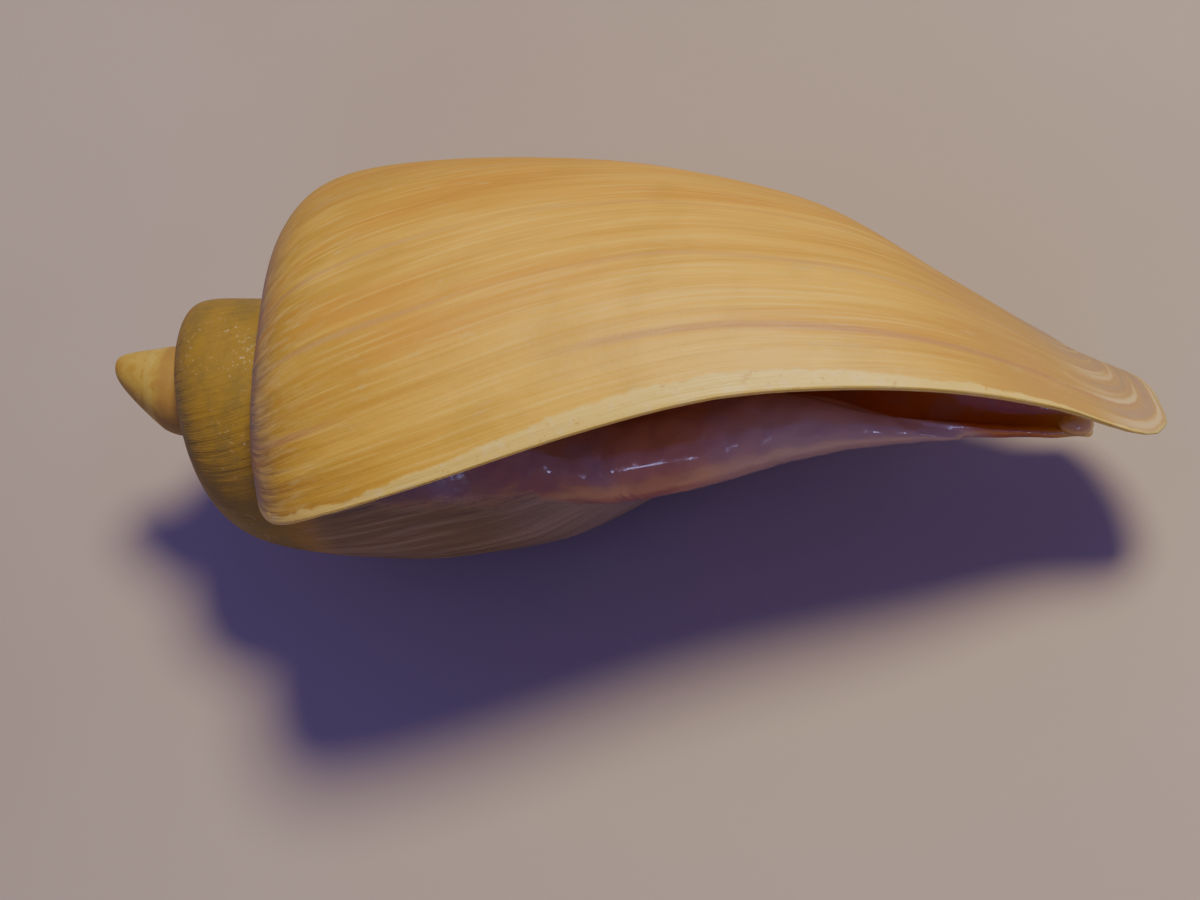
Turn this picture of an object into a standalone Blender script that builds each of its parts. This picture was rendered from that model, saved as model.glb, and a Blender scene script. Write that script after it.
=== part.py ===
"""A cymbium olla shell, a large-mouthed volute, lying on its side with the outer lip up.

The shell grew as one piece, so it is one solid. Its wall is the growing edge of the shell,
swept along a logarithmic spiral from the apex to the lip: each step turns it about the
coiling axis and makes it larger. The nipple-shaped first whorl, the pillar on the axis and
the bead at the end of the canal are turned shapes, fused to the wall.

Work is done in the shell's own frame, in millimetres: X runs along the coiling axis from the
apex to the front canal, Y points to the back of the shell and Z to the outer lip. The last
step lays the shell on its flat spot, in metres, with +Z up and the origin on the spot.
"""

import math

import bmesh
import bpy
import numpy as np
from mathutils import Matrix, Vector

MM = 0.001

# Spiral growth
GROWTH_PER_TURN = 2.4
OLDEST_TURN = -885.0
LATE_TURN = -315.0
OLD_STEPS = 38
LATE_STEPS = 30

# The growing edge at scale one, from the suture over the shoulder and along the outer lip,
# round the front notch and back to the pillar: radius from the axis, distance along the axis
# and angle round it, then the wall thickness there and the steps to the next row.
GROWING_EDGE = (
    (9.45, 17.6, 141, 0.3, 1),
    (11.0, 16.4, 139.5, 0.8, 1),
    (13.0, 15.5, 139, 1.2, 2),
    (18.4, 18.0, 137, 1.5, 2),
    (21.7, 22.4, 131.5, 1.5, 2),
    (23.3, 30.5, 123.7, 1.5, 1),
    (23.8, 42.0, 114, 1.5, 2),
    (22.9, 54.5, 106.3, 1.5, 2),
    (19.8, 68.0, 103.6, 1.5, 2),
    (14.6, 76.6, 105.6, 1.5, 2),
    (10.8, 82.0, 113, 1.4, 1),
    (8.1, 85.6, 94, 1.4, 2),
    (5.2, 91.5, 45, 1.4, 1),
    (4.0, 99.0, 0, 1.4, 2),
    (3.4, 112.8, -50, 1.4, 2),
    (2.6, 132.2, -110, 1.3, 2),
    (1.9, 149.8, -165, 1.1, 1),
)
THINNEST = 0.25
SHOULDER_POINT = 5

# The first whorls are slimmer than the spiral, from one angle round the axis to another
PINCH = 0.22
PINCH_FROM, PINCH_TO = -400.0, -540.0
TIP_PINCH = 0.3
TIP_FROM, TIP_TO = -580.0, -700.0

# The shoulder sinks a little on the last whorl, then climbs towards the apex on its way to the lip
SINK = 0.45
SINK_FROM, SINK_TO = -60.0, 60.0
CLIMB = 2.0
CLIMB_FROM, CLIMB_TO = 75.0, 145.0
SHOULDER_TOP, SHOULDER_FOOT = 20.0, 40.0

# The first whorls are drawn out a little and lean towards the back of the shell
DRAW = 0.65
DRAW_FROM, DRAW_TO = 8.0, 16.0
LEAN = 3.7
LEAN_LENGTH = 18.0

# The nipple on the apex, the pillar with its thick glaze on the axis, and the bead that closes the
# curl at the end of the canal: distance along the axis, radius, and how far the middle lies
# towards the back
NIPPLE = (
    (-0.95, 0, -0.95), (-0.7, 0.95, -0.95), (0.0, 1.7, -0.95), (1.3, 2.5, -0.95), (3.0, 3.35, -0.95),
    (4.5, 4.05, -0.95), (5.8, 4.55, -0.9), (8.0, 4.7, -0.6), (11, 4.0, -0.3), (14, 2.0, 0), (15.5, 0, 0),
)
PILLAR = (
    (7, 0, 0), (12, 0.8, 0), (30, 2.4, -2.0), (44, 4.2, -4.8), (52, 4.7, -5.3), (58, 4.6, -4.4),
    (64, 4.3, -3.1), (70, 3.6, -1.7), (75, 2.8, -1.15), (80, 1.5, -1.2), (85, 0.6, -1.4), (89, 0, -1.5),
)
CANAL_TIP = (
    (97.6, 0, -0.3), (98.2, 0.7, -0.3), (99.2, 1.15, -0.3), (100.3, 1.15, -0.3), (101.0, 0.75, -0.3),
    (101.3, 0, -0.3),
)
TURNED_STEPS = 20

# How the shell lies: turned about its axis, then tipped nose down, on a spot ground flat
LIE_ROLL = 0.0
LIE_PITCH = 9.5
FLAT_DEPTH = 0.4

COLLECTION = "cymbium_olla_shell"


def clear_scene():
    """Remove everything that is already in the scene."""
    for old in list(bpy.data.objects):
        bpy.data.objects.remove(old, do_unlink=True)


def smooth_rows(rows):
    """Read a smooth curve through the rows, with the steps that each row asks for."""
    points = [np.array(row[:4], float) for row in rows]
    points = [2 * points[0] - points[1]] + points + [2 * points[-1] - points[-2]]
    curve = []
    for index, row in enumerate(rows[:-1]):
        before, start, end, after = points[index:index + 4]
        for step in range(row[4]):
            t = step / row[4]
            curve.append(0.5 * (
                2 * start + (end - before) * t
                + (2 * before - 5 * start + 4 * end - after) * t ** 2
                + (3 * start - before - 3 * end + after) * t ** 3
            ))
    curve.append(points[-2])
    return np.array(curve)


def eased(value, start, end):
    """Rise smoothly from 0 at one value to 1 at another."""
    t = np.clip((value - start) / (end - start), 0.0, 1.0)
    return t * t * (3.0 - 2.0 * t)


def edge_outline():
    """Return the closed outline of the growing edge: its outer side, then its inner side back."""
    rows = smooth_rows(GROWING_EDGE)
    slope = np.gradient(rows[:, :2], axis=0)
    slope /= np.linalg.norm(slope, axis=1)[:, None]
    inward = np.stack([-slope[:, 1], slope[:, 0]], axis=1)
    inner = rows[:, :2] + inward * rows[:, 3:4]
    inner[:, 0] = np.maximum(inner[:, 0], THINNEST * rows[:, 0])
    near_suture = 1.0 - eased(np.arange(len(rows)), 0, SHOULDER_POINT)
    outer_side = np.column_stack([rows[:, :3], near_suture])
    inner_side = np.column_stack([inner, rows[:, 2], near_suture])
    return np.concatenate([outer_side, inner_side[::-1]])


def grown_edge(outline, turn):
    """Place the outline of the growing edge where it was some degrees of growth ago."""
    radius, along, angle, near_suture = outline.T
    angle = angle + turn
    size = GROWTH_PER_TURN ** (angle / 360.0)
    pinch = 1.0 - PINCH * eased(angle, PINCH_FROM, PINCH_TO)
    pinch *= 1.0 - TIP_PINCH * eased(angle, TIP_FROM, TIP_TO)
    pinch_below = 1.0 - PINCH * eased(angle - 360.0, PINCH_FROM, PINCH_TO) * near_suture
    climb = CLIMB * eased(angle, CLIMB_FROM, CLIMB_TO) - SINK * eased(angle, SINK_FROM, SINK_TO)
    climb *= 1.0 - eased(along, SHOULDER_TOP, SHOULDER_FOOT)
    radius = radius * size * pinch * pinch_below
    turned_by = np.radians(angle)
    return np.stack([along * size - climb, radius * np.cos(turned_by), radius * np.sin(turned_by)], axis=1)


def grow_wall():
    """Sweep the growing edge along the spiral, from the oldest turn to the lip."""
    bm = bmesh.new()
    outline = edge_outline()
    ring = [bm.verts.new(point) for point in grown_edge(outline, OLDEST_TURN)]
    edges = [bm.edges.new((vert, ring[i - 1])) for i, vert in enumerate(ring)]
    close_end(bm, ring)
    old_turns = np.linspace(OLDEST_TURN, LATE_TURN, OLD_STEPS + 1)[1:]
    late_turns = np.linspace(LATE_TURN, 0.0, LATE_STEPS + 1)[1:]
    for turn in (*old_turns, *late_turns):
        grown = bmesh.ops.extrude_edge_only(bm, edges=edges)["geom"]
        verts = {item for item in grown if isinstance(item, bmesh.types.BMVert)}
        edges = [item for item in grown if isinstance(item, bmesh.types.BMEdge)]
        ring = [grown_from(vert, verts) for vert in ring]
        for vert, point in zip(ring, grown_edge(outline, turn)):
            vert.co = point
    close_end(bm, ring)
    shape_spire(bm)
    bmesh.ops.recalc_face_normals(bm, faces=bm.faces)
    return bm


def grown_from(vert, new_verts):
    """Find the new vertex that was extruded from an old one."""
    for edge in vert.link_edges:
        if edge.other_vert(vert) in new_verts:
            return edge.other_vert(vert)


def close_end(bm, ring):
    """Close one end of the wall with a strip between its outer and inner side."""
    count = len(ring)
    for i in range(count // 2 - 1):
        bm.faces.new((ring[i], ring[i + 1], ring[count - 2 - i], ring[count - 1 - i]))


def shape_spire(bm):
    """Draw the first whorls out along the axis and lean them over, most at the tip."""
    for vert in bm.verts:
        lean = LEAN * max(0.0, 1.0 - vert.co.x / LEAN_LENGTH) ** 2
        vert.co.x -= DRAW * (1.0 - eased(vert.co.x, DRAW_FROM, DRAW_TO))
        vert.co.y += lean


def turned(profile):
    """Turn a profile about the axis, then move its middle sideways where it asks for that."""
    bm = bmesh.new()
    alongs, radii, sides = zip(*profile)
    verts = [bm.verts.new((along, 0, radius)) for along, radius in zip(alongs, radii)]
    edges = [bm.edges.new(pair) for pair in zip(verts, verts[1:])]
    bmesh.ops.spin(
        bm, geom=verts + edges, cent=(0, 0, 0), axis=(1, 0, 0), angle=math.tau,
        steps=TURNED_STEPS, use_merge=True, use_duplicate=False,
    )
    bmesh.ops.remove_doubles(bm, verts=bm.verts, dist=0.001)
    for vert in bm.verts:
        vert.co.y += float(np.interp(vert.co.x, alongs, sides))
    shape_spire(bm)
    bmesh.ops.recalc_face_normals(bm, faces=bm.faces)
    return bm


def lying_matrix(bm):
    """Lay the shell down: lip up, tipped forward, flat spot on the ground at the origin."""
    tilt = Matrix.Rotation(math.radians(LIE_PITCH), 4, "Y") @ Matrix.Rotation(math.radians(LIE_ROLL), 4, "X")
    points = [tilt @ vert.co for vert in bm.verts]
    floor = min(point.z for point in points) + FLAT_DEPTH
    spot = [point for point in points if point.z < floor]
    centre = sum(spot, Vector()) / len(spot)
    move = Matrix.Translation(Vector((-centre.x, -centre.y, -floor)))
    return move @ tilt


def shell_material():
    """Ochre outside with a satin finish."""
    material = bpy.data.materials.new("shell")
    material.use_nodes = True
    principled = material.node_tree.nodes["Principled BSDF"]
    principled.inputs["Base Color"].default_value = (0.60, 0.36, 0.15, 1.0)
    principled.inputs["Roughness"].default_value = 0.45
    principled.inputs["Metallic"].default_value = 0.0
    return material


def new_object(name, bm, collection):
    """Make an object in metres from a bmesh in millimetres."""
    bm.transform(Matrix.Scale(MM, 4))
    mesh = bpy.data.meshes.new(name)
    bm.to_mesh(mesh)
    bm.free()
    made = bpy.data.objects.new(name, mesh)
    collection.objects.link(made)
    return made


def hide_tool(tool):
    """A piece that is fused to the shell shows as wire only."""
    tool.hide_render = True
    tool.display_type = "WIRE"


def grind_flat(bm):
    """Grind the underside flat where it reaches below the ground."""
    cut = bmesh.ops.bisect_plane(
        bm, geom=list(bm.verts) + list(bm.edges) + list(bm.faces), dist=0.0,
        plane_co=(0, 0, 0), plane_no=(0, 0, -1), clear_outer=True,
    )
    rim = [item for item in cut["geom_cut"] if isinstance(item, bmesh.types.BMEdge)]
    bmesh.ops.contextual_create(bm, geom=rim)
    bmesh.ops.recalc_face_normals(bm, faces=bm.faces)


def fuse(shell, tool):
    """Fuse a piece to the shell. The wall runs into its own older turns, so it is fused to itself."""
    boolean = shell.modifiers.new(tool.name, "BOOLEAN")
    boolean.object = tool
    boolean.operation = "UNION"
    boolean.solver = "EXACT"
    boolean.use_self = True


def main():
    clear_scene()
    shells = bpy.data.collections.new(COLLECTION)
    tools = bpy.data.collections.new("tools")
    for collection in (shells, tools):
        bpy.context.scene.collection.children.link(collection)

    wall = grow_wall()
    lying = lying_matrix(wall)
    wall.transform(lying)
    grind_flat(wall)
    shell = new_object("shell", wall, shells)
    shell.data.materials.append(shell_material())
    for name, profile in (("nipple", NIPPLE), ("pillar", PILLAR), ("canal_tip", CANAL_TIP)):
        shape = turned(profile)
        shape.transform(lying)
        tool = new_object(name, shape, tools)
        hide_tool(tool)
        fuse(shell, tool)
    shell.data.shade_smooth()
    shell.data.set_sharp_from_angle(angle=math.radians(40))


main()
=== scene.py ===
"""The looks of a cymbium olla shell, a large-mouthed volute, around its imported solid.

The shell is modelled in its own frame, in millimetres: X runs along the coiling axis from the
apex to the front canal, Y points to the back of the shell and Z to the outer lip. A ring is
drawn along the growing edge, pulled back one step of growth and repeated along the spiral by
an array. The nipple and the pillar are spun from profiles. The finished mesh is then laid
down and brought to metres. The pattern of the shell follows its growth, so each point of the
wall keeps how many turns ago it grew and where on the growing edge it lies.
"""

import math

import bpy
import numpy as np
from mathutils import Matrix, Vector, noise


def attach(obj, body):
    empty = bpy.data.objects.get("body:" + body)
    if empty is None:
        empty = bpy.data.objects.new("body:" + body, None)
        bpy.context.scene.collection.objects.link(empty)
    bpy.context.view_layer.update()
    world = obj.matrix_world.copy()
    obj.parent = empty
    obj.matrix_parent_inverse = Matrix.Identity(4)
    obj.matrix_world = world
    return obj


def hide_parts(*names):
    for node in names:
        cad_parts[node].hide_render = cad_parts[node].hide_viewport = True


MM = 0.001

# Spiral growth, as in the solid
GROWTH_PER_TURN = 2.4
OLDEST_TURN = -885.0
STEPS = 400
STEP_TURN = -OLDEST_TURN / STEPS

# The growing edge at scale one, from the suture over the shoulder and along the outer lip,
# round the front notch and back to the pillar: radius from the axis, distance along the axis
# and angle round it, then the wall thickness there and the steps to the next row.
GROWING_EDGE = (
    (9.45, 17.6, 141, 0.3, 3),
    (11.0, 16.4, 139.5, 0.8, 4),
    (13.0, 15.5, 139, 1.2, 6),
    (18.4, 18.0, 137, 1.5, 7),
    (21.7, 22.4, 131.5, 1.5, 8),
    (23.3, 30.5, 123.7, 1.5, 7),
    (23.8, 42.0, 114, 1.5, 7),
    (22.9, 54.5, 106.3, 1.5, 7),
    (19.8, 68.0, 103.6, 1.5, 7),
    (14.6, 76.6, 105.6, 1.5, 6),
    (10.8, 82.0, 113, 1.4, 5),
    (8.1, 85.6, 94, 1.4, 6),
    (5.2, 91.5, 45, 1.4, 5),
    (4.0, 99.0, 0, 1.4, 6),
    (3.4, 112.8, -50, 1.4, 6),
    (2.6, 132.2, -110, 1.3, 6),
    (1.9, 149.8, -165, 1.1, 1),
)

# The inner side keeps at least this share of the outer radius away from the axis
THINNEST = 0.25

# The first whorls are slimmer than the spiral, from one angle round the axis to another, and
# the oldest ones slimmer again. The first rows of the next whorl follow them at the suture.
PINCH = 0.22
PINCH_FROM, PINCH_TO = -400.0, -540.0
TIP_PINCH = 0.3
TIP_FROM, TIP_TO = -580.0, -700.0
SUTURE_ROWS = 3.5

# The shoulder sinks a little on the last whorl, then climbs towards the apex on its way to the
# lip. Both fade out between these two distances along the axis.
SINK = 0.45
SINK_FROM, SINK_TO = -60.0, 60.0
CLIMB = 2.0
CLIMB_FROM, CLIMB_TO = 75.0, 145.0
SHOULDER_TOP, SHOULDER_FOOT = 20.0, 40.0

# The first whorls are drawn out a little, and lean towards the back of the shell more and more
# from this distance along the axis to the tip
DRAW = 0.65
DRAW_FROM, DRAW_TO = 8.0, 16.0
LEAN = 3.7
LEAN_LENGTH = 18.0

# The nipple on the apex, the pillar with its thick glaze on the axis, and the bead that closes the
# curl at the end of the canal: distance along the axis, radius, and how far the middle lies
# towards the back
NIPPLE = (
    (-0.95, 0, -0.95), (-0.7, 0.95, -0.95), (0.0, 1.7, -0.95), (1.3, 2.5, -0.95),
    (3.0, 3.35, -0.95), (4.5, 4.05, -0.95), (5.8, 4.55, -0.9), (8.0, 4.7, -0.6), (11, 4.0, -0.3),
    (14, 2.0, 0), (15.5, 0, 0),
)
PILLAR = (
    (7, 0, 0), (12, 0.8, 0), (30, 2.4, -2.0), (44, 4.2, -4.8), (52, 4.7, -5.3), (58, 4.6, -4.4),
    (64, 4.3, -3.1), (70, 3.6, -1.7), (75, 2.8, -1.15), (80, 1.5, -1.2), (85, 0.6, -1.4), (89, 0, -1.5),
)
CANAL_TIP = (
    (97.6, 0, -0.3), (98.2, 0.7, -0.3), (99.2, 1.15, -0.3), (100.3, 1.15, -0.3), (101.0, 0.75, -0.3),
    (101.3, 0, -0.3),
)
PROFILE_STEPS = 4
TURNED_STEPS = 96

# Points closer than this are merged: between two bands of the wall, on the finished wall, and
# on a turned piece
BAND_MERGE, WALL_MERGE, TURNED_MERGE = 0.0001, 0.0005, 0.001

# How the shell lies: its tip in degrees, and its place with the flat spot at the origin
LIE_PITCH = 9.5
LIE_PLACE = (-42.642, -3.687, 25.278)

# The rounded rim of the lip: how many of the newest rings make it, the degrees of growth that it
# takes up, how far it stands out as a share of half the wall, and a power that squares it
RIM_RINGS = 5
RIM_TURN = 0.9
RIM_REACH = 0.42
RIM_SQUARE = 0.6

# How far the outer lip grows for each degree, in millimetres
LIP_PACE = 0.52

# The wall lies over the pillar in a soft hump, this wide where the two meet
GLAZE_BLEND = 2.4

# Slow swells of the outer side: their height, the oldest turn that has them, their length in
# degrees and in rows, and the row from which they have their full height
SWELL = 0.16
SWELL_OLDEST = -300.0
SWELL_DEGREES, SWELL_ROWS = 11.0, 2.6
SWELL_PLACE = 3.0
SWELL_FULL_ROW = 4.0

# Bites out of the lip, from a slow and a quick wave along it: waves for each row, the place in
# the noise and the strength. The deep chips of the rear end fade out over the chipped rows, and
# deeper bites begin again at the notch.
BITE = 0.55
BITE_RINGS = 9
BITE_WAVES = ((7.0, 5.0, 1.0), (23.0, 9.0, 0.5))
LEAST_BITE = 0.35
CHIPPED_ROWS = (3.4, 5.2)
NOTCH_BITE, NOTCH_ROWS = 0.5, (9.5, 10.2)

# The camera looks at the shell from above its lip. Its angles, distance and target are in the
# shell's own frame, and the target's pixel is in the frame of the photograph.
CAMERA_TIP, CAMERA_TURN, CAMERA_ROLL = 18.2, 12.1, -1.74
CAMERA_AWAY = 300.0
CAMERA_TARGET = (52.0, 0.0, 0.0)
TARGET_PIXEL = (606.3, 408.5)
FRAME_PIXELS = (1200.0, 900.0)
PIXELS_PER_MM = 9.782
SENSOR = 36.0
NEAREST_SEEN = 0.01

# A warm lamp shines from above, a small cool window from below the camera, and the blue sky
# fills the shadows: ways in the camera's view, distances and sizes in metres
SHELL_MIDDLE = (0.01, 0.0, 0.02)
LAMP_WAY, LAMP_AWAY, LAMP_SIZE = (0.04, 0.60, 0.80), 0.7, 0.19
LAMP_POWER, LAMP_COLOUR = 5.3, (1.0, 0.82, 0.55)
WINDOW_WAY, WINDOW_AWAY, WINDOW_SIZE = (-0.1, -0.55, 0.75), 0.9, 0.06
WINDOW_POWER, WINDOW_COLOUR = 0.22, (0.45, 0.5, 1.0)
SKY_COLOUR, SKY_STRENGTH = (0.34, 0.25, 0.86), 0.42

# Colours of the outside: the ground by row of the growing edge, then the streaks over it, each
# as the pattern that it follows, where it starts and where it is full, its strength and its colour
OUTSIDE_ROWS = (
    (1.0, (0.20, 0.14, 0.09)), (2.5, (0.27, 0.20, 0.15)), (3.0, (0.36, 0.25, 0.07)),
    (3.5, (0.47, 0.31, 0.025)), (5.5, (0.64, 0.365, 0.020)), (7.0, (0.74, 0.41, 0.022)),
    (8.2, (0.58, 0.30, 0.018)), (9.4, (0.44, 0.27, 0.045)), (10.8, (0.38, 0.27, 0.08)),
    (12.5, (0.42, 0.24, 0.07)),
)
STREAKS = (
    ("broad", 0.50, 0.64, 0.50, (0.58, 0.27, 0.012)),
    ("broad", 0.48, 0.33, 0.40, (0.82, 0.53, 0.040)),
    ("middle", 0.53, 0.66, 0.28, (0.46, 0.24, 0.020)),
    ("middle", 0.47, 0.34, 0.26, (0.90, 0.63, 0.05)),
    ("fine", 0.54, 0.68, 0.24, (0.42, 0.22, 0.018)),
    ("fine", 0.45, 0.31, 0.32, (0.92, 0.69, 0.11)),
    ("cloud", 0.52, 0.70, 0.35, (0.48, 0.30, 0.022)),
)
YOUNG_OCHRE, OLD_OCHRE = (0.88, 0.60, 0.040), (0.42, 0.23, 0.012)
FRONT_TAN = (0.46, 0.30, 0.085)
CHALK = (0.66, 0.51, 0.14)
HOOK_BROWN, HOOK_CREAM = (0.36, 0.27, 0.17), (0.66, 0.56, 0.30)

# Lines where growth stopped for a while: how many turns ago, how wide in turns, and how strong
CLEAR_STOP, CLEAR_STOP_WIDTH = -0.037, 0.0035
CLEAR_STOP_BROWN = (0.40, 0.21, 0.10)
FAINT_STOPS = ((-0.083, 0.30), (-0.128, 0.30), (-0.196, 0.25), (-0.285, 0.25), (-0.40, 0.3))
FAINT_STOP_WIDTH = 0.003
FAINT_STOP_TAN = (0.40, 0.27, 0.16)

# Colours of the older whorls, around the spire and on the belly
OLIVE, DARK_OLIVE = (0.30, 0.20, 0.015), (0.22, 0.163, 0.022)
RUBBED_CREAM, PIT_BROWN = (0.62, 0.53, 0.28), (0.16, 0.10, 0.03)
BELLY_BROWN, BELLY_TAN = (0.25, 0.175, 0.055), (0.36, 0.27, 0.105)
BELLY_STREAK, BELLY_FRONT = (0.54, 0.43, 0.29), (0.46, 0.37, 0.27)

# The inside: its colours by share of the shell's length, and where the glaze that spreads over
# the belly ends on each row of the growing edge
SHELL_LENGTH = 110.0
INSIDE_LENGTHS = (
    (0.10, (0.25, 0.15, 0.06)), (0.28, (0.27, 0.16, 0.07)), (0.42, (0.42, 0.22, 0.085)),
    (0.52, (0.67, 0.32, 0.12)), (0.62, (0.72, 0.34, 0.11)), (0.72, (0.67, 0.24, 0.05)),
    (0.84, (0.60, 0.20, 0.017)), (0.875, (0.64, 0.26, 0.02)), (0.895, (0.74, 0.44, 0.06)),
    (0.915, (0.84, 0.60, 0.14)),
)
HAZE_GREY, HAZE_RED = (0.42, 0.28, 0.24), (0.40, 0.13, 0.07)
# Painted light: the pale cream laid on the pillar strip under the lip, where the lamp reaches it
PILLAR_PAINTED_LIGHT = (0.62, 0.47, 0.30)
GLAZE_ENDS = ((4.6, 0.28), (6.9, 0.345), (8.6, 0.38), (10.2, 0.49), (10.8, 0.62))

# The cream band along the lip: its width on each row, as a share of the widest in millimetres
CREAM_WIDEST = 4.0
CREAM_ROWS = (
    (3.2, 0.30), (4.8, 0.33), (5.8, 0.50), (6.5, 0.62), (7.4, 0.52), (8.2, 0.32), (9.2, 0.20),
    (10.4, 0.16), (11.6, 0.30), (13.0, 0.20),
)
LIP_CREAM, LIP_NICK = (0.86, 0.69, 0.13), (0.50, 0.28, 0.05)
LIP_PALE, NOTCH_CREAM = (0.88, 0.75, 0.26), (0.50, 0.43, 0.15)

# Colours of the nipple and the ground, and the heights of the fine relief in metres
NIPPLE_CREAM, NIPPLE_TAN = (0.55, 0.41, 0.050), (0.47, 0.31, 0.030)
NIPPLE_BAND, NIPPLE_FOOT, NIPPLE_SPECK = (0.60, 0.48, 0.08), (0.33, 0.20, 0.04), (0.28, 0.17, 0.05)
FLOOR_SIZE, FLOOR_ROUGHNESS = 3.0, 0.7
FLOOR_TONES = ((0.42, 0.38, 0.315), (0.455, 0.415, 0.35))
SHELL_BUMP, SHELL_BUMP_HEIGHT = 0.85, 0.00026
NIPPLE_BUMP, NIPPLE_BUMP_HEIGHT = 0.4, 0.00012

# The pillar and the bead take the finish of the deep inside
DEEP_INSIDE = {"inside": 1.0, "reach": 50.0, "around": -0.7}


def eased(value, start, end):
    """Rise smoothly from 0 at one value to 1 at another."""
    t = np.clip((value - start) / (end - start), 0.0, 1.0)
    return t * t * (3.0 - 2.0 * t)


def smooth_rows(rows):
    """Read a smooth curve through the rows, with the steps that each row asks for."""
    points = [np.array(row[:4], float) for row in rows]
    points = [2 * points[0] - points[1]] + points + [2 * points[-1] - points[-2]]
    curve, marks = [], []
    for index, row in enumerate(rows[:-1]):
        before, start, end, after = points[index:index + 4]
        for step in range(row[4]):
            t = step / row[4]
            marks.append(index + t)
            curve.append(0.5 * (
                2 * start + (end - before) * t
                + (2 * before - 5 * start + 4 * end - after) * t ** 2
                + (3 * start - before - 3 * end + after) * t ** 3
            ))
    curve.append(points[-2])
    marks.append(len(rows) - 1.0)
    return np.array(curve), np.array(marks)


def edge_outline():
    """Return the closed outline of the growing edge, outer side first, and its row marks."""
    rows, marks = smooth_rows(GROWING_EDGE)
    slope = np.gradient(rows[:, :2], axis=0)
    slope /= np.linalg.norm(slope, axis=1)[:, None]
    inward = np.stack([-slope[:, 1], slope[:, 0]], axis=1)
    inner = rows[:, :2] + inward * rows[:, 3:4]
    inner[:, 0] = np.maximum(inner[:, 0], THINNEST * rows[:, 0])
    outer_side = rows[:, :3]
    inner_side = np.column_stack([inner, rows[:, 2]])
    return np.concatenate([outer_side, inner_side[::-1]]), np.concatenate([marks, marks[::-1]])


def ring_points(outline):
    """Turn rows of radius, distance along and angle into points on the spiral."""
    radius, along, angle = outline.T
    size = GROWTH_PER_TURN ** (angle / 360.0)
    around = np.radians(angle)
    back, out = radius * np.cos(around), radius * np.sin(around)
    return np.stack([along, back, out], axis=1) * size[:, None]


def only(piece):
    """Select one object and nothing else, and make it active."""
    bpy.ops.object.select_all(action="DESELECT")
    piece.select_set(True)
    bpy.context.view_layer.objects.active = piece


def grow_wall(ring):
    """Pull the ring back one step of growth, then repeat the band along the spiral."""
    bpy.ops.object.select_all(action="DESELECT")
    bpy.ops.mesh.primitive_circle_add(vertices=len(ring))
    wall = bpy.context.object
    wall.name = wall.data.name = "shell_wall"
    wall.data.vertices.foreach_set("co", ring.ravel())
    shrink = GROWTH_PER_TURN ** (-STEP_TURN / 360.0)
    bpy.ops.object.mode_set(mode="EDIT")
    bpy.ops.mesh.select_all(action="SELECT")
    bpy.ops.mesh.extrude_region_move()
    bpy.ops.transform.resize(value=(shrink, shrink, shrink), center_override=(0, 0, 0))
    bpy.ops.transform.rotate(
        value=math.radians(STEP_TURN), orient_axis="X", orient_type="GLOBAL", center_override=(0, 0, 0),
    )
    bpy.ops.object.mode_set(mode="OBJECT")
    bpy.ops.object.empty_add(rotation=(math.radians(-STEP_TURN), 0, 0))
    growth = bpy.context.object
    growth.scale = (shrink, shrink, shrink)
    array = wall.modifiers.new("growth", "ARRAY")
    array.count = STEPS
    array.use_relative_offset = False
    array.use_object_offset = True
    array.offset_object = growth
    array.use_merge_vertices = True
    array.merge_threshold = BAND_MERGE
    only(wall)
    bpy.ops.object.modifier_apply(modifier=array.name)
    bpy.data.objects.remove(growth)
    return wall


def shape_wall(points, turns, outline, marks):
    """Slim the first whorls, shift the shoulder, cover the pillar and draw out the spire."""
    along, angle = outline[:, 1], outline[:, 2] + turns[:, None]
    near_suture = 1.0 - eased(marks, 0.0, SUTURE_ROWS)
    slim = 1.0 - PINCH * eased(angle, PINCH_FROM, PINCH_TO)
    slim *= 1.0 - TIP_PINCH * eased(angle, TIP_FROM, TIP_TO)
    slim *= 1.0 - PINCH * eased(angle - 360.0, PINCH_FROM, PINCH_TO) * near_suture
    points[:, :, 1:] *= slim[..., None]
    climb = CLIMB * eased(angle, CLIMB_FROM, CLIMB_TO) - SINK * eased(angle, SINK_FROM, SINK_TO)
    points[:, :, 0] -= climb * (1.0 - eased(along, SHOULDER_TOP, SHOULDER_FOOT))
    lay_over_pillar(points, outline)
    shape_spire(points)


def lay_over_pillar(points, outline):
    """Lift the outer side of the wall over the pillar, so that the two run into each other."""
    outer = points[:, :len(outline) // 2]
    radius = np.linalg.norm(outer[..., 1:], axis=-1)
    alongs, radii, sides = profile_curve(PILLAR).T
    size = np.interp(outer[..., 0], alongs, radii, left=0.0, right=0.0)
    side = np.interp(outer[..., 0], alongs, sides)
    cosine, sine = outer[..., 1] / radius, outer[..., 2] / radius
    room = size ** 2 - (side * sine) ** 2
    pillar = np.where(room > 0.0, side * cosine + np.sqrt(np.maximum(room, 0.0)), 0.0)
    near = np.maximum(GLAZE_BLEND - np.abs(radius - pillar), 0.0) / GLAZE_BLEND
    lifted = np.maximum(radius, pillar) + near ** 2 * GLAZE_BLEND / 4.0
    outer[..., 1:] *= (lifted / radius)[..., None]


def swell_wall(points, turns, marks):
    """Let the outer side rise and fall a little with the growth, away from the suture."""
    half = len(marks) // 2
    for ring, turn in enumerate(turns):
        if turn < SWELL_OLDEST:
            break
        for place in range(half):
            height = noise.noise((turn / SWELL_DEGREES, marks[place] / SWELL_ROWS, SWELL_PLACE))
            height *= SWELL * min(1.0, marks[place] / SWELL_FULL_ROW)
            across = points[ring, place, 1:]
            across *= 1.0 + height / np.linalg.norm(across)


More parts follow.
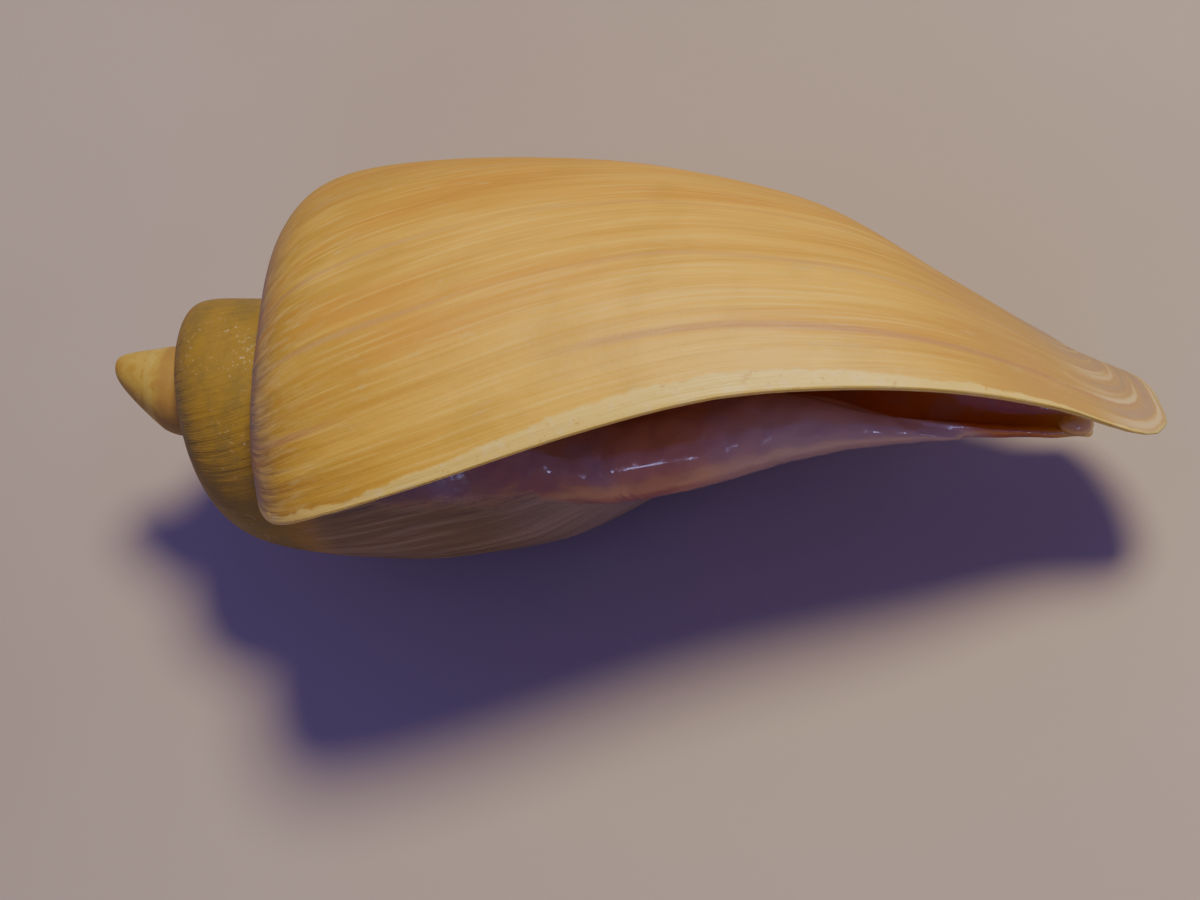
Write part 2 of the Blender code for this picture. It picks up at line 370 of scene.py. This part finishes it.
def bite_lip(points, marks):
    """Pull the newest rings back where the lip is chipped, most near its rear end."""
    for place, row in enumerate(marks):
        chipped = LEAST_BITE + (1.0 - LEAST_BITE) * (1.0 - eased(row, *CHIPPED_ROWS))
        chipped += NOTCH_BITE * eased(row, *NOTCH_ROWS)
        wave = sum(part * noise.noise((row * pace, 0.0, at)) for pace, at, part in BITE_WAVES)
        bite = BITE * chipped * max(0.0, wave)
        base = points[BITE_RINGS, place].copy()
        back = points[BITE_RINGS + 1, place] - base
        back /= np.linalg.norm(back)
        for ring in range(BITE_RINGS):
            points[ring, place] += back * bite * (1.0 - ring / BITE_RINGS)


def shape_spire(points):
    """Draw the first whorls out along the axis and lean them over, most at the tip."""
    lean = LEAN * np.maximum(0.0, 1.0 - points[..., 0] / LEAN_LENGTH) ** 2
    points[..., 0] -= DRAW * (1.0 - eased(points[..., 0], DRAW_FROM, DRAW_TO))
    points[..., 1] += lean


def round_rim(points):
    """Draw the newest rings together into the rounded rim of the lip, and close both ends."""
    base = points[RIM_RINGS].copy()
    middle = 0.5 * (base + base[::-1])
    half = base - middle
    forward = base - points[RIM_RINGS + 1]
    forward /= np.linalg.norm(forward, axis=1)[:, None]
    reach = np.linalg.norm(half, axis=1)[:, None]
    for ring in range(RIM_RINGS):
        bend = math.pi / 2 * (1.0 - ring / RIM_RINGS)
        side = half * math.cos(bend) ** RIM_SQUARE
        points[ring] = middle + side + forward * reach * RIM_REACH * math.sin(bend)
    points[-1] = 0.5 * (points[-1] + points[-1][::-1])


def profile_curve(profile):
    """Read a smooth curve through a profile's points."""
    return smooth_rows([(*point, 0, PROFILE_STEPS) for point in profile])[0][:, :3]


def turned(name, profile):
    """Turn a profile about the axis, then move its middle sideways where it asks for that."""
    bpy.ops.object.select_all(action="DESELECT")
    bpy.ops.mesh.primitive_circle_add(vertices=3)
    piece = bpy.context.object
    piece.name = piece.data.name = name
    bpy.ops.object.mode_set(mode="EDIT")
    bpy.ops.mesh.delete(type="VERT")
    bpy.ops.object.mode_set(mode="OBJECT")
    alongs, radii, sides = profile_curve(profile).T
    count = len(alongs)
    piece.data.vertices.add(count)
    line = np.stack([alongs, np.zeros(count), np.maximum(radii, 0.0)], axis=1)
    piece.data.vertices.foreach_set("co", line.ravel())
    piece.data.edges.add(count - 1)
    piece.data.edges.foreach_set("vertices", [v for i in range(count - 1) for v in (i, i + 1)])
    bpy.ops.object.mode_set(mode="EDIT")
    bpy.ops.mesh.select_all(action="SELECT")
    bpy.ops.mesh.spin(steps=TURNED_STEPS, angle=math.tau, center=(0, 0, 0), axis=(1, 0, 0))
    bpy.ops.mesh.select_all(action="SELECT")
    bpy.ops.mesh.remove_doubles(threshold=TURNED_MERGE)
    bpy.ops.mesh.normals_make_consistent(inside=False)
    bpy.ops.object.mode_set(mode="OBJECT")
    points = read_points(piece)
    points[:, 1] += np.interp(points[:, 0], alongs, sides)
    shape_spire(points)
    piece.data.vertices.foreach_set("co", points.ravel())
    return piece


def read_points(piece):
    """Read the vertices of a piece as an array."""
    points = np.empty(len(piece.data.vertices) * 3, np.float32)
    piece.data.vertices.foreach_get("co", points)
    return points.reshape(-1, 3).astype(float)


def set_attribute(piece, name, values):
    """Give each point of a piece a number that the finish reads."""
    attribute = piece.data.attributes.new(name, "FLOAT", "POINT")
    attribute.data.foreach_set("value", values)


class Reading:
    """A number that changes over the surface: arithmetic on it adds Math nodes."""

    def __init__(self, finish, socket):
        self.finish = finish
        self.socket = socket

    def __add__(self, other):
        return self.finish.math("ADD", self, other)

    __radd__ = __add__

    def __sub__(self, other):
        return self.finish.math("SUBTRACT", self, other)

    def __rsub__(self, other):
        return self.finish.math("SUBTRACT", other, self)

    def __mul__(self, other):
        return self.finish.math("MULTIPLY", self, other)

    __rmul__ = __mul__

    def __truediv__(self, other):
        return self.finish.math("DIVIDE", self, other)

    def rise(self, start, end):
        """Rise smoothly from 0 to 1 between two values, or fall where the first is larger."""
        sockets = {"Value": self, "From Min": start, "From Max": end}
        return self.finish.node("ShaderNodeMapRange", {"interpolation_type": "SMOOTHSTEP"}, sockets)


class Finish:
    """One material, made node by node."""

    def __init__(self, name):
        self.material = bpy.data.materials.new(name)
        self.material.use_nodes = True
        self.tree = self.material.node_tree
        self.surface = self.tree.nodes["Principled BSDF"]

    def node(self, kind, settings=None, sockets=None, output=0):
        """Add a node: its settings come first, then the values or links of its sockets."""
        node = self.tree.nodes.new(kind)
        for name, value in (settings or {}).items():
            if name == "stops":
                self.set_stops(node.color_ramp, value)
            else:
                setattr(node, name, value)
        for name, value in (sockets or {}).items():
            self.feed(node.inputs[name], value)
        return Reading(self, node.outputs[output])

    def set_stops(self, ramp, stops):
        """Give a ramp its stops: each is a place from 0 to 1 and a colour or a number."""
        while len(ramp.elements) < len(stops):
            ramp.elements.new(0.5)
        for element, (place, shade) in zip(ramp.elements, stops):
            if not isinstance(shade, tuple):
                shade = (shade, shade, shade)
            element.position = place
            element.color = (*shade, 1.0)

    def feed(self, socket, value):
        """Link a reading to a socket, or set the socket to a plain value."""
        if isinstance(value, Reading):
            self.tree.links.new(value.socket, socket)
        else:
            socket.default_value = value

    def give(self, name, value):
        """Feed a socket of the surface."""
        self.feed(self.surface.inputs[name], value)

    def math(self, operation, *numbers):
        return self.node("ShaderNodeMath", {"operation": operation}, dict(enumerate(numbers)))

    def attribute(self, name):
        return self.node("ShaderNodeAttribute", {"attribute_name": name}, output="Fac")

    def by_row(self, edge, stops):
        """Read a colour or a number off the rows of the growing edge."""
        return self.ramp(edge, [(mark(row), shade) for row, shade in stops])

    def ramp(self, value, stops):
        return self.node("ShaderNodeValToRGB", {"stops": stops}, {"Fac": value}, "Color")

    def noise(self, place, scale=1.0, detail=2.0, roughness=0.5):
        sockets = {"Vector": place, "Scale": scale, "Detail": detail, "Roughness": roughness}
        return self.node("ShaderNodeTexNoise", None, sockets)

    def point(self, x, y, z=0.0):
        return self.node("ShaderNodeCombineXYZ", None, {"X": x, "Y": y, "Z": z})

    def mix(self, factor, first, second):
        """Mix two colours, by a number from 0 to 1."""
        first, second = ((*c, 1.0) if isinstance(c, tuple) else c for c in (first, second))
        return self.node("ShaderNodeMix", {"data_type": "RGBA"}, {0: factor, 6: first, 7: second}, 2)

    def split(self, vector):
        """The three numbers of a vector."""
        parts = self.node("ShaderNodeSeparateXYZ", None, {0: vector}).socket.node.outputs
        return [Reading(self, part) for part in parts]

    def own_frame(self):
        """A place on the surface in the shell's own frame, in millimetres."""
        here = self.node("ShaderNodeTexCoord", output="Object")
        sockets = {
            "Vector": here, "Location": [c * MM for c in LIE_PLACE],
            "Rotation": (0.0, math.radians(LIE_PITCH), 0.0), "Scale": (MM, MM, MM),
        }
        return self.node("ShaderNodeMapping", {"vector_type": "TEXTURE"}, sockets)

    def bump(self, height, strength, distance):
        sockets = {"Height": height, "Strength": strength, "Distance": distance}
        self.give("Normal", self.node("ShaderNodeBump", None, sockets))


def mark(row):
    """Where a row of the growing edge lies from 0 at the suture to 1 at the pillar."""
    return row / (len(GROWING_EDGE) - 1)


def past_row(edge, start, end):
    """Rise from 0 to 1 between two rows of the growing edge, or fall where the first is later."""
    return edge.rise(mark(start), mark(end))


def outer_colour(finish, turn, edge, around, place):
    """The ochre outside of the last whorl, running into the older whorls."""
    patterns = {
        "broad": finish.noise(finish.point(turn * 30.0, edge * 5.0), detail=3.0),
        "middle": finish.noise(finish.point(turn * 120.0, edge * 7.0, 4.0), detail=3.0),
        "fine": finish.noise(finish.point(turn * 400.0, edge * 13.0, 8.0), detail=2.0),
        "cloud": finish.noise(place, scale=0.11, detail=3.0),
    }
    young = turn.rise(-0.20, -0.02) * past_row(edge, 4.4, 6.0) * past_row(edge, 9.2, 7.6)
    colour = finish.mix(young * 0.60, finish.by_row(edge, OUTSIDE_ROWS), YOUNG_OCHRE)
    for name, start, full, strength, streak in STREAKS:
        colour = finish.mix(patterns[name].rise(start, full) * strength, colour, streak)
    colour = finish.mix(turn.rise(-0.12, -0.27) * 0.28, colour, OLD_OCHRE)
    front = past_row(edge, 7.6, 9.4) * (0.45 + patterns["broad"] * 0.5)
    colour = finish.mix(front, colour, FRONT_TAN)
    colour = growth_stops(finish, colour, turn, edge, patterns["middle"])
    colour = worn(finish, colour, turn, edge, place)
    colour = hooked_lines(finish, colour, turn, edge)
    return older_whorls(finish, colour, around, place, patterns)


def growth_stops(finish, colour, turn, edge, middle):
    """The lines where growth stopped for a while: one clear line, and fainter ones behind it."""
    shown = past_row(edge, 5.6, 6.6) * 0.60 + past_row(edge, 4.7, 3.7) * 0.50
    line = growth_line(finish, turn, edge, CLEAR_STOP, CLEAR_STOP_WIDTH)
    colour = finish.mix(line * shown, colour, CLEAR_STOP_BROWN)
    for when, strength in FAINT_STOPS:
        line = growth_line(finish, turn, edge, when, FAINT_STOP_WIDTH)
        colour = finish.mix(line * middle.rise(0.35, 0.55) * strength, colour, FAINT_STOP_TAN)
    return colour


def growth_line(finish, turn, edge, when, width):
    """A thin line where the growth stopped for a while, a little earlier towards the shoulder."""
    wave = finish.noise(finish.point(edge * 9.0, when * 50.0), detail=1.0) * 0.010
    away = finish.math("ABSOLUTE", turn - when + wave - edge * 0.045 + 0.014)
    return away.rise(width, width * 0.2)


def worn(finish, colour, turn, edge, place):
    """Chalky worn threads, in patches everywhere and closest on the shoulder."""
    patches = finish.noise(place, scale=0.22, detail=5.0, roughness=0.7).rise(0.50, 0.68)
    shoulder = past_row(edge, 5.0, 3.2) * past_row(edge, 2.6, 3.0) * turn.rise(-0.34, -0.10)
    thread = finish.noise(finish.point(turn * 260.0, edge * 30.0, 12.0), detail=4.0, roughness=0.6)
    rubbed = patches * thread.rise(0.50, 0.62) * 0.38 + shoulder * thread.rise(0.42, 0.62) * 0.34
    return finish.mix(rubbed, colour, CHALK)


def hooked_lines(finish, colour, turn, edge):
    """The brown and cream lines that hook round the notch at the front."""
    notch = past_row(edge, 9.3, 9.9) * past_row(edge, 12.6, 11.8) * turn.rise(-0.24, -0.16)
    bands = finish.noise(finish.point(turn * 75.0, edge * 3.0, 2.0), detail=2.0)
    colour = finish.mix(notch * bands.rise(0.40, 0.58) * 0.8, colour, HOOK_BROWN)
    return finish.mix(notch * bands.rise(0.50, 0.36) * 0.7, colour, HOOK_CREAM)


def older_whorls(finish, colour, around, place, patterns):
    """The older whorls: olive and rubbed around the spire, brown with pale streaks on the belly."""
    along = finish.split(place)[0]
    mottle = finish.noise(place, scale=0.35, detail=5.0, roughness=0.65)
    whorl = finish.mix(mottle.rise(0.38, 0.68), OLIVE, DARK_OLIVE)
    specks = finish.noise(place, scale=2.2, detail=3.0, roughness=0.7)
    rubbed = finish.noise(place, scale=0.22, detail=2.0).rise(0.48, 0.62)
    whorl = finish.mix(specks.rise(0.58, 0.70) * rubbed * 0.7, whorl, RUBBED_CREAM)
    whorl = finish.mix(specks.rise(0.36, 0.26) * 0.6, whorl, PIT_BROWN)
    belly = finish.mix(patterns["middle"].rise(0.42, 0.62), BELLY_BROWN, BELLY_TAN)
    belly = finish.mix(patterns["fine"].rise(0.58, 0.76) * 0.35, belly, BELLY_STREAK)
    belly = finish.mix(along.rise(38.0, 56.0) * 0.6, belly, BELLY_FRONT)
    colour = finish.mix(around.rise(-0.22, -0.40) * along.rise(19.0, 26.0), colour, belly)
    return finish.mix(around.rise(-0.36, -0.44) * along.rise(24.0, 19.0), colour, whorl)


def inner_colour(finish, place):
    """The glossy inside: brown behind, redder towards the canal, golden at the very front, with painted
    light paling the pillar strip under the lip.
    """
    along, back = finish.split(place)[:2]
    depth = finish.ramp(along / SHELL_LENGTH, INSIDE_LENGTHS)
    haze = finish.noise(place, scale=0.13, detail=3.0)
    colour = finish.mix(haze.rise(0.50, 0.68) * 0.45, depth, HAZE_GREY)
    colour = finish.mix(haze.rise(0.48, 0.34) * 0.40, colour, HAZE_RED)
    # Painted light: the pillar strip under the lip is paled towards cream, as where the lamp reaches it
    under = (17.5 - along * 0.21 - back + (haze - 0.5) * 1.5).rise(-0.4, 0.5)
    lit = under * along.rise(58.0, 72.0) * along.rise(96.0, 90.0)
    return finish.mix(lit * 0.85, colour, PILLAR_PAINTED_LIGHT)


def lip_colour(finish, edge, place):
    """The cream band along the lip, nicked brown here and there and duller round the notch."""
    nicks = finish.noise(place, scale=1.1, detail=3.0, roughness=0.6).rise(0.60, 0.70)
    pale = finish.noise(place, scale=0.7, detail=3.0).rise(0.50, 0.66)
    colour = finish.mix(nicks * 0.60, LIP_CREAM, LIP_NICK)
    colour = finish.mix(pale * 0.5, colour, LIP_PALE)
    notch = past_row(edge, 9.4, 10.2) * past_row(edge, 11.4, 10.9)
    return finish.mix(notch * 0.75, colour, NOTCH_CREAM)


def shell_finish():
    """The whole wall: satin and streaked outside, glazed inside and beside the aperture."""
    finish = Finish("shell")
    turn, edge = finish.split(finish.node("ShaderNodeUVMap", {"uv_map": "growth"}))[:2]
    inside, reach, around = (finish.attribute(name) for name in ("inside", "reach", "around"))
    place = finish.own_frame()
    ragged = finish.noise(place, scale=0.30, detail=4.0, roughness=0.6)

    glaze_end = finish.by_row(edge, GLAZE_ENDS)
    glazed = (glaze_end - around + ragged * 0.05 - 0.925).rise(0.0, 0.03)
    glazed = glazed * finish.split(place)[0].rise(22.0, 25.0) * around.rise(-0.95, -0.80)
    glossy = finish.math("MAXIMUM", inside, glazed)
    limit = finish.by_row(edge, CREAM_ROWS) * CREAM_WIDEST + (ragged - 0.5) * 1.6 - inside * 0.9
    cream = (limit - reach).rise(-0.15, 0.30)
    outer = outer_colour(finish, turn, edge, around, place)
    colour = finish.mix(glossy, outer, inner_colour(finish, place))
    finish.give("Base Color", finish.mix(cream * 0.88, colour, lip_colour(finish, edge, place)))

    satin = 0.44 + ragged * 0.16 - cream * 0.04
    finish.give("Roughness", satin * (1.0 - glossy) + glossy * (0.13 + ragged * 0.16))
    finish.give("Coat Weight", glossy * (1.0 - cream) * 0.6)
    finish.give("Coat Roughness", 0.08)

    fine = finish.noise(finish.point(turn * 420.0, edge * 20.0, 8.0), detail=2.0)
    ridges = finish.noise(finish.point(turn * 95.0, edge * 6.0, 4.0), detail=3.0)
    waves = finish.noise(place, scale=0.28, detail=1.0) * glossy * 3.0
    height = (fine * 0.35 + ridges) * (1.0 - glossy) + ragged * 0.5 + waves
    finish.bump(height, SHELL_BUMP, SHELL_BUMP_HEIGHT)
    return finish.material


def nipple_finish():
    """The pale first whorl, rubbed smooth, with a faint band round its foot."""
    finish = Finish("nipple")
    place = finish.own_frame()
    along = finish.split(place)[0]
    mottle = finish.noise(place, scale=0.6, detail=4.0, roughness=0.6)
    colour = finish.mix(mottle.rise(0.42, 0.64), NIPPLE_CREAM, NIPPLE_TAN)
    foot = along + (mottle - 0.5) * 1.2
    colour = finish.mix(foot.rise(2.9, 3.3) * foot.rise(4.3, 3.9) * 0.6, colour, NIPPLE_BAND)
    colour = finish.mix(foot.rise(4.0, 5.4) * 0.8, colour, NIPPLE_FOOT)
    specks = finish.noise(place, scale=3.0, detail=2.0).rise(0.62, 0.72)
    finish.give("Base Color", finish.mix(specks * 0.5, colour, NIPPLE_SPECK))
    finish.give("Roughness", 0.42 + mottle * 0.2)
    finish.bump(mottle, NIPPLE_BUMP, NIPPLE_BUMP_HEIGHT)
    return finish.material


def floor_finish():
    """A pale, faintly mottled ground."""
    finish = Finish("pale_ground")
    here = finish.node("ShaderNodeTexCoord", output="Object")
    mottle = finish.noise(here, scale=9.0, detail=4.0)
    finish.give("Base Color", finish.mix(mottle.rise(0.35, 0.65), *FLOOR_TONES))
    finish.give("Roughness", FLOOR_ROUGHNESS)
    return finish.material


def lying_matrix():
    """Lay the shell down from its own frame, still in millimetres."""
    return Matrix.Translation(LIE_PLACE) @ Matrix.Rotation(math.radians(LIE_PITCH), 4, "Y")


def add_camera():
    """Set the camera at the photograph's viewing angle."""
    tip, turn, roll = (math.radians(a) for a in (CAMERA_TIP, CAMERA_TURN, CAMERA_ROLL))
    axis = Vector((1, 0, 0))
    back = Vector((0, math.cos(tip), math.sin(tip)))
    lateral = Vector((0, -math.sin(tip), math.cos(tip)))
    along = axis * math.cos(turn) - lateral * math.sin(turn)
    toward = lateral * math.cos(turn) + axis * math.sin(turn)
    right = along * math.cos(roll) - back * math.sin(roll)
    up = back * math.cos(roll) + along * math.sin(roll)
    across = (TARGET_PIXEL[0] - FRAME_PIXELS[0] / 2) / PIXELS_PER_MM
    down = (TARGET_PIXEL[1] - FRAME_PIXELS[1] / 2) / PIXELS_PER_MM
    place = Vector(CAMERA_TARGET) - across * right + down * up + CAMERA_AWAY * toward
    lie = lying_matrix()
    turned_to = lie.to_3x3() @ Matrix((right, up, toward)).transposed()
    bpy.ops.object.camera_add()
    camera = bpy.context.object
    camera.matrix_world = Matrix.Translation((lie @ place) * MM) @ turned_to.to_4x4()
    camera.data.sensor_width = SENSOR
    camera.data.lens = SENSOR * PIXELS_PER_MM * CAMERA_AWAY / FRAME_PIXELS[0]
    camera.data.clip_start = NEAREST_SEEN
    bpy.context.scene.camera = camera
    return camera


def add_light(name, camera, way, away, size, power, colour):
    """Add a soft light that shines on the shell from a direction given in the camera's view."""
    toward = camera.matrix_world.to_3x3() @ Vector(way).normalized()
    place = Vector(SHELL_MIDDLE) + toward * away
    bpy.ops.object.light_add(type="AREA", location=place)
    light = bpy.context.object
    light.name = light.data.name = name
    light.rotation_euler = toward.to_track_quat("Z", "Y").to_euler()
    light.data.shape = "DISK"
    light.data.size = size
    light.data.energy = power
    light.data.color = colour


def add_sky():
    """Set the blue light that comes from all round."""
    world = bpy.data.worlds.new("studio")
    bpy.context.scene.world = world
    world.use_nodes = True
    background = world.node_tree.nodes["Background"]
    background.inputs["Color"].default_value = (*SKY_COLOUR, 1.0)
    background.inputs["Strength"].default_value = SKY_STRENGTH


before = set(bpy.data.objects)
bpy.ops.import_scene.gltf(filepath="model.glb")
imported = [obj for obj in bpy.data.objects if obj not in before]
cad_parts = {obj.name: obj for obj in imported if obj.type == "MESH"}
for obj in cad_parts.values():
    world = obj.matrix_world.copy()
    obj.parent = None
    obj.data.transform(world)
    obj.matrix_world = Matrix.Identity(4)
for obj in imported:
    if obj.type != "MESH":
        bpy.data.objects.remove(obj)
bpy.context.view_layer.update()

outline, marks = edge_outline()
turns = STEP_TURN * (RIM_RINGS - np.arange(STEPS + 1)) - RIM_TURN
wall = grow_wall(ring_points(outline + (0.0, 0.0, turns[0])))
points = read_points(wall).reshape(STEPS + 1, len(outline), 3)
shape_wall(points, turns, outline, marks)
swell_wall(points, turns, marks)
round_rim(points)
bite_lip(points, marks)
wall.data.vertices.foreach_set("co", points.ravel())

# What the finish reads: when each point grew and its place along the edge, whether it is inside,
# how far back from the lip it lies, and the turns round the axis at which it stands
growth = wall.data.uv_layers.new(name="growth")
corner_points = np.empty(len(wall.data.loops), np.int32)
wall.data.loops.foreach_get("vertex_index", corner_points)
grown = np.repeat(turns / 360.0, len(outline))
edges = np.tile(marks / marks.max(), STEPS + 1)
growth.data.foreach_set("uv", np.stack([grown, edges], axis=1)[corner_points].ravel())
inside_ring = (np.arange(len(outline)) >= len(outline) // 2).astype(float)
set_attribute(wall, "inside", np.tile(inside_ring, STEPS + 1))
set_attribute(wall, "reach", np.repeat(-turns * LIP_PACE, len(outline)))
set_attribute(wall, "around", ((outline[:, 2] + turns[:, None]) / 360.0).ravel())

only(wall)
bpy.ops.object.mode_set(mode="EDIT")
bpy.ops.mesh.select_all(action="SELECT")
bpy.ops.mesh.remove_doubles(threshold=WALL_MERGE)
bpy.ops.mesh.normals_make_consistent(inside=False)
bpy.ops.object.mode_set(mode="OBJECT")

nipple = turned("nipple", NIPPLE)
pillar = turned("pillar", PILLAR)
canal_tip = turned("canal_tip", CANAL_TIP)

for piece in (pillar, canal_tip):
    for name, value in DEEP_INSIDE.items():
        set_attribute(piece, name, np.full(len(piece.data.vertices), value))

# Each piece is laid down, kept above the ground and given its finish
shell = shell_finish()
finishes = {wall: shell, nipple: nipple_finish(), pillar: shell, canal_tip: shell}
to_world = Matrix.Scale(MM, 4) @ lying_matrix()
for piece in finishes:
    piece.data.transform(to_world)
    for vert in piece.data.vertices:
        vert.co.z = max(vert.co.z, 0.0)
    only(piece)
    bpy.ops.object.shade_smooth()
    piece.data.materials.clear()
    piece.data.materials.append(finishes[piece])
    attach(piece, "root")
    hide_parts("shell")

bpy.ops.mesh.primitive_plane_add(size=FLOOR_SIZE)
floor = bpy.context.object
floor.name = "floor"
floor.data.materials.append(floor_finish())

camera = add_camera()
add_light("lamp", camera, LAMP_WAY, LAMP_AWAY, LAMP_SIZE, LAMP_POWER, LAMP_COLOUR)
add_light("window", camera, WINDOW_WAY, WINDOW_AWAY, WINDOW_SIZE, WINDOW_POWER, WINDOW_COLOUR)
add_sky()
